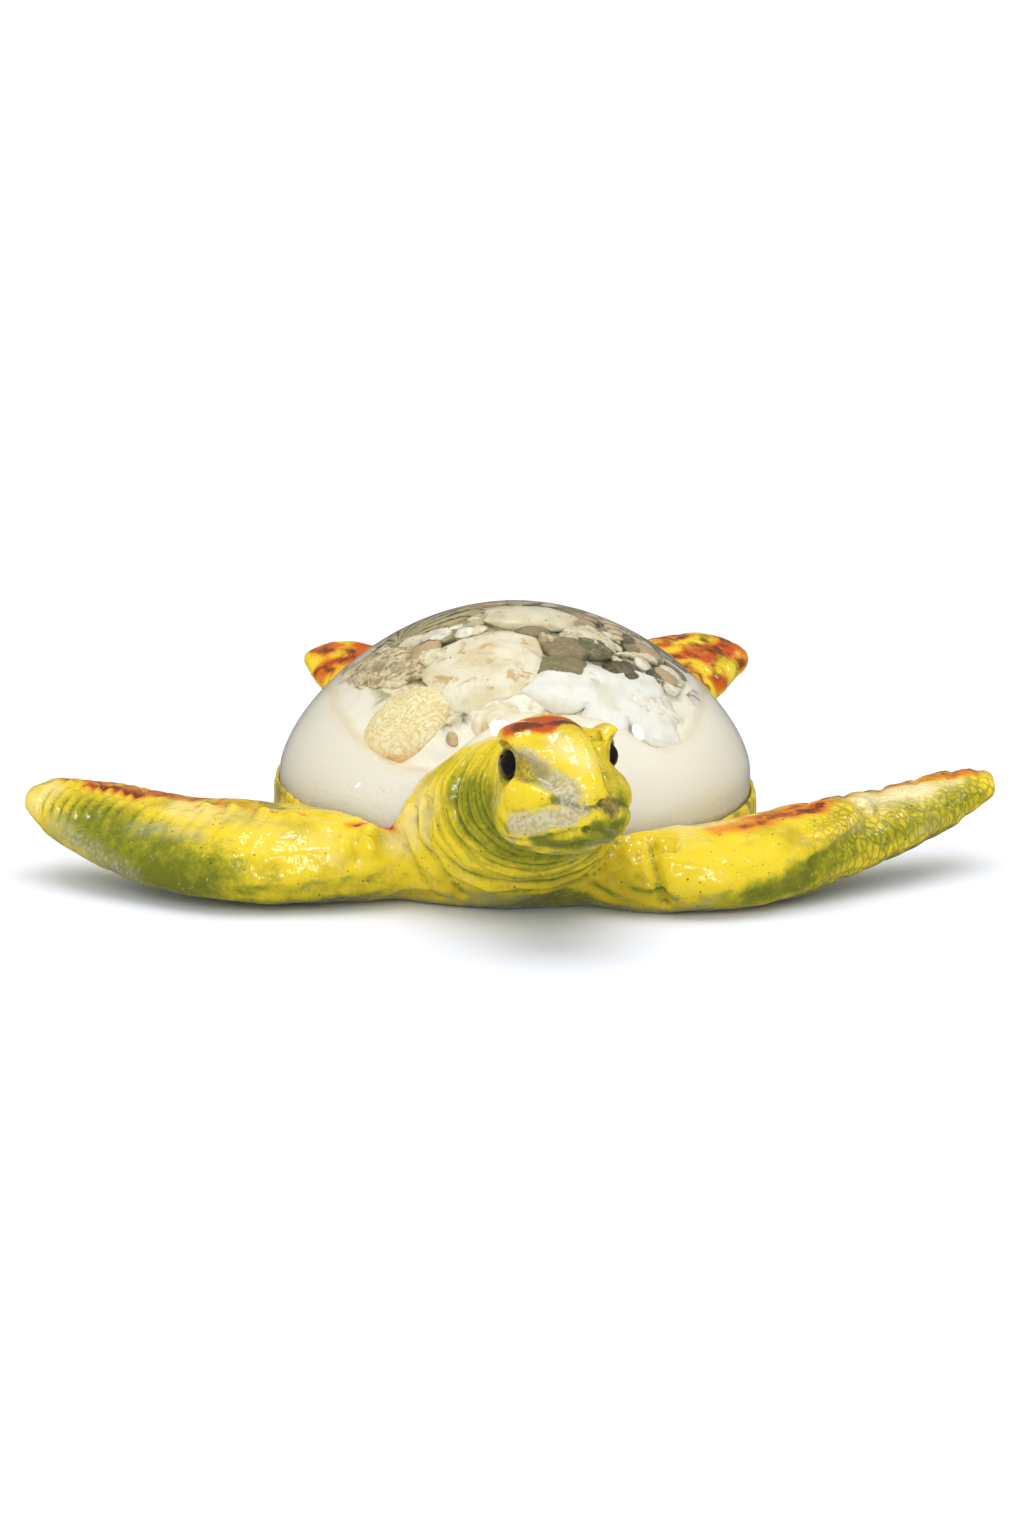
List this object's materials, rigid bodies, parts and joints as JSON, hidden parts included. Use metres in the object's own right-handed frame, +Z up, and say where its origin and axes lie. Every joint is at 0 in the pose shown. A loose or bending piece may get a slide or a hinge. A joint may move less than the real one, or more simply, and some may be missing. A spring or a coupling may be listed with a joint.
{
  "type": "sea turtle figurine with shell-filled clear resin dome",
  "caption": "Hand-painted sea turtle figurine with spread flippers and a turned head, whose shell is a clear resin dome over seashells in a cream bed.",
  "frame": {"origin": "middle of the flat belly, on the surface that the turtle rests on", "axes": "-Y toward the head, +X toward the turtle's left front flipper, +Z up through the dome"},
  "size_m": [0.1956, 0.1888, 0.0506],
  "materials": {
    "painted_body": "glossy lacquered paint, yellow with green, orange and brown mottling",
    "clear_resin": "polished clear casting resin",
    "cream_resin": "smooth cream casting resin",
    "white_starfish": "smooth chalky white",
    "swirled_stone": "cream with ochre swirls",
    "coral": "pitted and chalky",
    "cream_shell": "smooth cream shell with ochre patches",
    "ribbed_shell": "ribbed grey-brown shell",
    "tan_shell": "tan banded shell",
    "grey_stone": "grey-green stone",
    "black_bead": "high gloss"
  },
  "bodies": {
    "root": {"turtle_body": "painted_body", "clear_resin_dome": "clear_resin", "cream_shell_bed": "cream_resin", "white_starfish": "white_starfish", "swirled_pebble": "swirled_stone", "pitted_coral": "coral", "cream_shell_front": "cream_shell", "ribbed_cockle": "ribbed_shell", "cream_shell_top": "cream_shell", "round_snail": "cream_shell", "tower_shell": "tan_shell", "grey_stone": "grey_stone", "brown_edged_scallop": "ribbed_shell", "banded_cockle": "tan_shell", "turban_shell": "tan_shell", "right_eye": "black_bead", "left_eye": "black_bead"}
  },
  "joints": []
}
